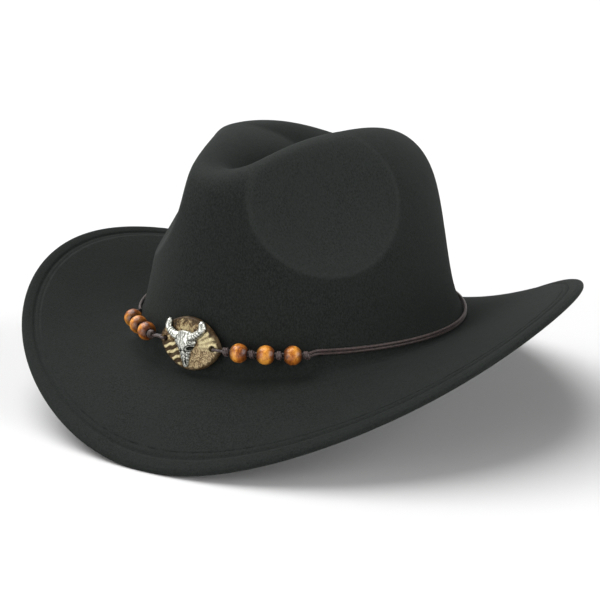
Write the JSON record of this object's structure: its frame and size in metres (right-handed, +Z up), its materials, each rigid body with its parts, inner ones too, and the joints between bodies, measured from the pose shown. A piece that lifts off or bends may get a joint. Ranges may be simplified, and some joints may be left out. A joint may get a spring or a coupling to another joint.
{
  "type": "cowboy hat",
  "caption": "Felt cowboy hat with a creased crown, a rolled wired brim, and a cord hatband that carries wooden beads and a shell medallion with a steer skull.",
  "frame": {"origin": "centre of the head opening, level with the mean height of the line where crown and brim meet", "axes": "+Z up out of the crown, -Y the hat's front, +X the wearer's left; +Z is the opening's axis into the crown"},
  "size_m": [0.3294, 0.3102, 0.152],
  "materials": {
    "felt": "soft brushed wool felt",
    "wire": "drawn spring wire",
    "sweatband": "ribbed woven band",
    "reed": "woven piping",
    "cord": "waxed cotton, slight sheen",
    "shell": "polished marbled shell",
    "silver": "antique silver with dark recesses",
    "bead_wood": "varnished"
  },
  "bodies": {
    "hat": {"felt_body": "felt", "brim_wire": "wire", "sweatband": "sweatband", "sweatband_reed": "reed"},
    "hatband": {"left_cord": "cord", "right_cord": "cord", "rear_knot": "cord"},
    "medallion": {"medallion": "shell", "steer_skull": "silver"},
    "left_bead_1": {"left_bead_1": "bead_wood"},
    "left_bead_2": {"left_bead_2": "bead_wood"},
    "left_bead_3": {"left_bead_3": "bead_wood"},
    "right_bead_1": {"right_bead_1": "bead_wood"},
    "right_bead_2": {"right_bead_2": "bead_wood"},
    "right_bead_3": {"right_bead_3": "bead_wood"}
  },
  "joints": [
    {"name": "hatband_lift", "type": "slide", "parent": "hat", "child": "hatband", "axis": [0, 0, 1], "range_m": [0, 0.14]},
    {"name": "medallion_rock", "type": "hinge", "parent": "hatband", "child": "medallion", "pos_m": [-0.00581, -0.09968, 0.01217], "axis": [0.9964, -0.0823, -0.0204], "range_deg": [-3, 3]},
    {"name": "left_bead_1_spin", "type": "hinge", "parent": "hatband", "child": "left_bead_1", "pos_m": [0.02502, -0.09925, 0.01131], "axis": [0.9352, 0.3503, -0.0522], "continuous": true},
    {"name": "left_bead_2_spin", "type": "hinge", "parent": "hatband", "child": "left_bead_2", "pos_m": [0.03777, -0.09382, 0.01074], "axis": [0.901, 0.4328, -0.0288], "continuous": true},
    {"name": "left_bead_3_spin", "type": "hinge", "parent": "hatband", "child": "left_bead_3", "pos_m": [0.04975, -0.08699, 0.01034], "axis": [0.8318, 0.5543, -0.0295], "continuous": true},
    {"name": "right_bead_1_spin", "type": "hinge", "parent": "hatband", "child": "right_bead_1", "pos_m": [-0.03864, -0.09374, 0.01263], "axis": [-0.8471, 0.5312, -0.0127], "continuous": true},
    {"name": "right_bead_2_spin", "type": "hinge", "parent": "hatband", "child": "right_bead_2", "pos_m": [-0.05022, -0.08603, 0.01259], "axis": [-0.8165, 0.5772, 0.0074], "continuous": true},
    {"name": "right_bead_3_spin", "type": "hinge", "parent": "hatband", "child": "right_bead_3", "pos_m": [-0.06092, -0.07731, 0.01267], "axis": [-0.7306, 0.6828, 0.0035], "continuous": true}
  ]
}
